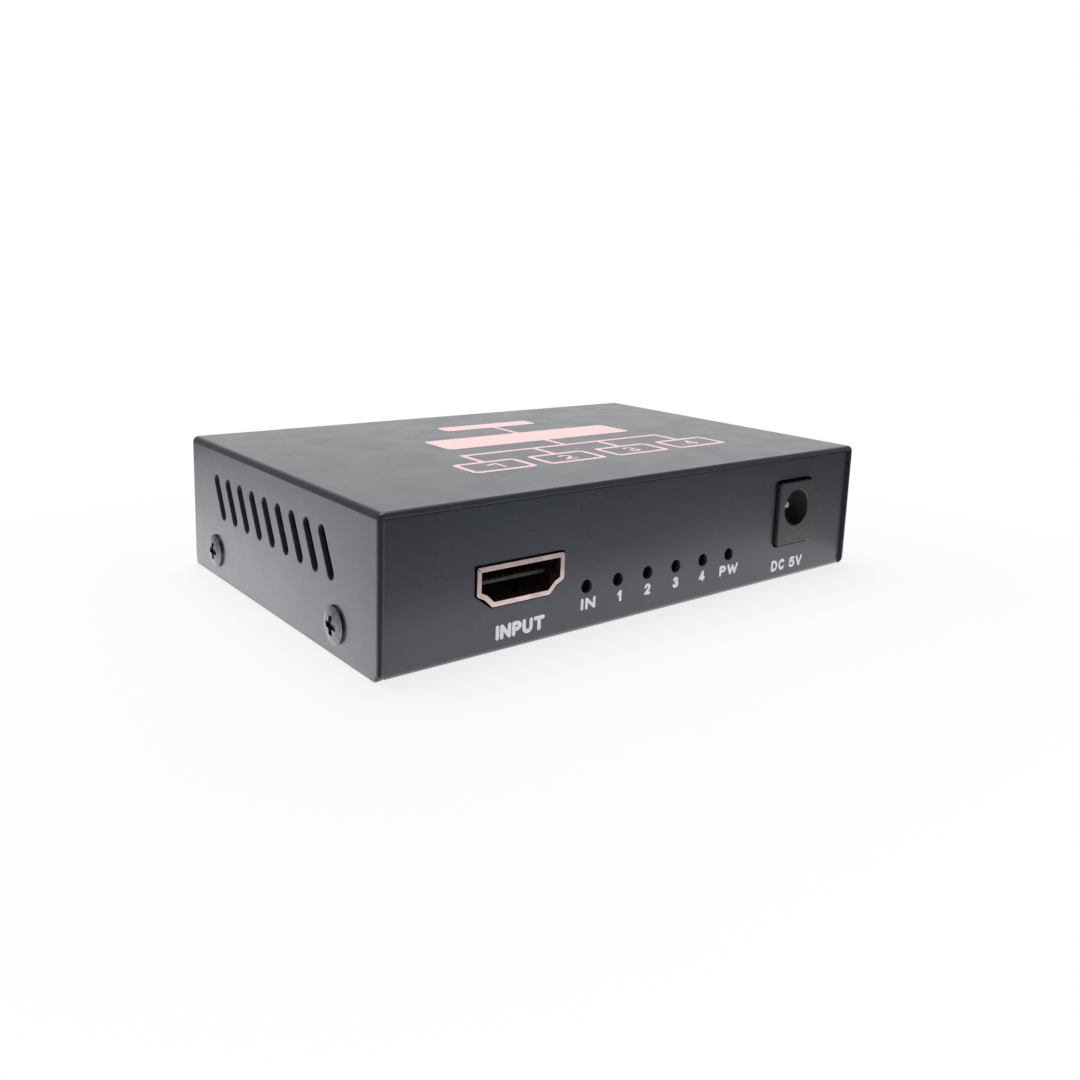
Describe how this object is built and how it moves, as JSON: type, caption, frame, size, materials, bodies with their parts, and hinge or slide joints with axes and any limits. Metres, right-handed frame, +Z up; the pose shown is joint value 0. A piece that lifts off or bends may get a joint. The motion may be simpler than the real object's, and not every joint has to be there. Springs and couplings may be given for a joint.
{
  "type": "video splitter box",
  "caption": "Small folded sheet-metal video splitter: input socket, status lamp holes and barrel power jack in front, output sockets behind, slanted vents and screws on the sides.",
  "frame": {"origin": "centre of the underside of the tray", "axes": "+X to the right seen from the front, front panel towards -Y, +Z up"},
  "size_m": [0.1016, 0.0648, 0.0228],
  "materials": {
    "powder_coat": "fine matte powder coat",
    "black_screw": "blackened, satin",
    "zinc_steel": "zinc plated",
    "board_green": "solder mask over glass epoxy",
    "plated_shell": "nickel plated, satin",
    "black_plastic": "moulded",
    "contact_gold": "gold flash",
    "tinned_brass": "tin plated",
    "lamp_resin": "clear resin",
    "chip_resin": "moulded epoxy",
    "pad_rubber": "soft silicone",
    "sink_aluminium": "extruded",
    "can_aluminium": "drawn",
    "ferrite": "sintered",
    "chip_ceramic": "fired"
  },
  "bodies": {
    "case": {"bottom_tray": "powder_coat", "top_cover": "powder_coat", "board_standoffs": "zinc_steel", "board_screws": "zinc_steel", "circuit_board": "board_green", "input_shell": "plated_shell", "input_insulator": "black_plastic", "input_contacts": "contact_gold", "output_1_shell": "plated_shell", "output_1_insulator": "black_plastic", "output_1_contacts": "contact_gold", "output_2_shell": "plated_shell", "output_2_insulator": "black_plastic", "output_2_contacts": "contact_gold", "output_3_shell": "plated_shell", "output_3_insulator": "black_plastic", "output_3_contacts": "contact_gold", "output_4_shell": "plated_shell", "output_4_insulator": "black_plastic", "output_4_contacts": "contact_gold", "power_jack_housing": "black_plastic", "power_jack_pin": "tinned_brass", "power_jack_sleeve_terminal": "tinned_brass", "power_jack_switch_terminal": "tinned_brass", "lamp_input": "lamp_resin", "lamp_1": "lamp_resin", "lamp_2": "lamp_resin", "lamp_3": "lamp_resin", "lamp_4": "lamp_resin", "lamp_power": "lamp_resin", "splitter_chip": "chip_resin", "splitter_chip_leads": "tinned_brass", "thermal_pad": "pad_rubber", "heat_sink": "sink_aluminium", "control_chip": "chip_resin", "memory_chip": "chip_resin", "voltage_regulator": "chip_resin", "small_chip_leads": "tinned_brass", "capacitor_bases": "black_plastic", "capacitor_cans": "can_aluminium", "power_inductor": "ferrite", "protection_diode": "chip_resin", "crystal_can": "zinc_steel", "surge_arrays": "chip_resin", "chip_resistors": "chip_resin", "chip_capacitors": "chip_ceramic"},
    "jack_leaf": {"power_jack_leaf": "tinned_brass"},
    "cover_screw_left_front": {"cover_screw_left_front": "black_screw"},
    "cover_screw_left_rear": {"cover_screw_left_rear": "black_screw"},
    "cover_screw_right_front": {"cover_screw_right_front": "black_screw"},
    "cover_screw_right_rear": {"cover_screw_right_rear": "black_screw"}
  },
  "joints": [
    {"name": "jack_leaf_bend", "type": "hinge", "parent": "case", "child": "jack_leaf", "pos_m": [0.034, -0.02335, 0.00912], "axis": [1, 0, 0], "range_deg": [0, 4], "stiffness_Nm_per_rad": 0.05},
    {"name": "cover_screw_left_front_out", "type": "slide", "parent": "case", "child": "cover_screw_left_front", "axis": [-1, 0, 0], "range_m": [0, 0.008]},
    {"name": "cover_screw_left_rear_out", "type": "slide", "parent": "case", "child": "cover_screw_left_rear", "axis": [-1, 0, 0], "range_m": [0, 0.008]},
    {"name": "cover_screw_right_front_out", "type": "slide", "parent": "case", "child": "cover_screw_right_front", "axis": [1, 0, 0], "range_m": [0, 0.008]},
    {"name": "cover_screw_right_rear_out", "type": "slide", "parent": "case", "child": "cover_screw_right_rear", "axis": [1, 0, 0], "range_m": [0, 0.008]}
  ]
}
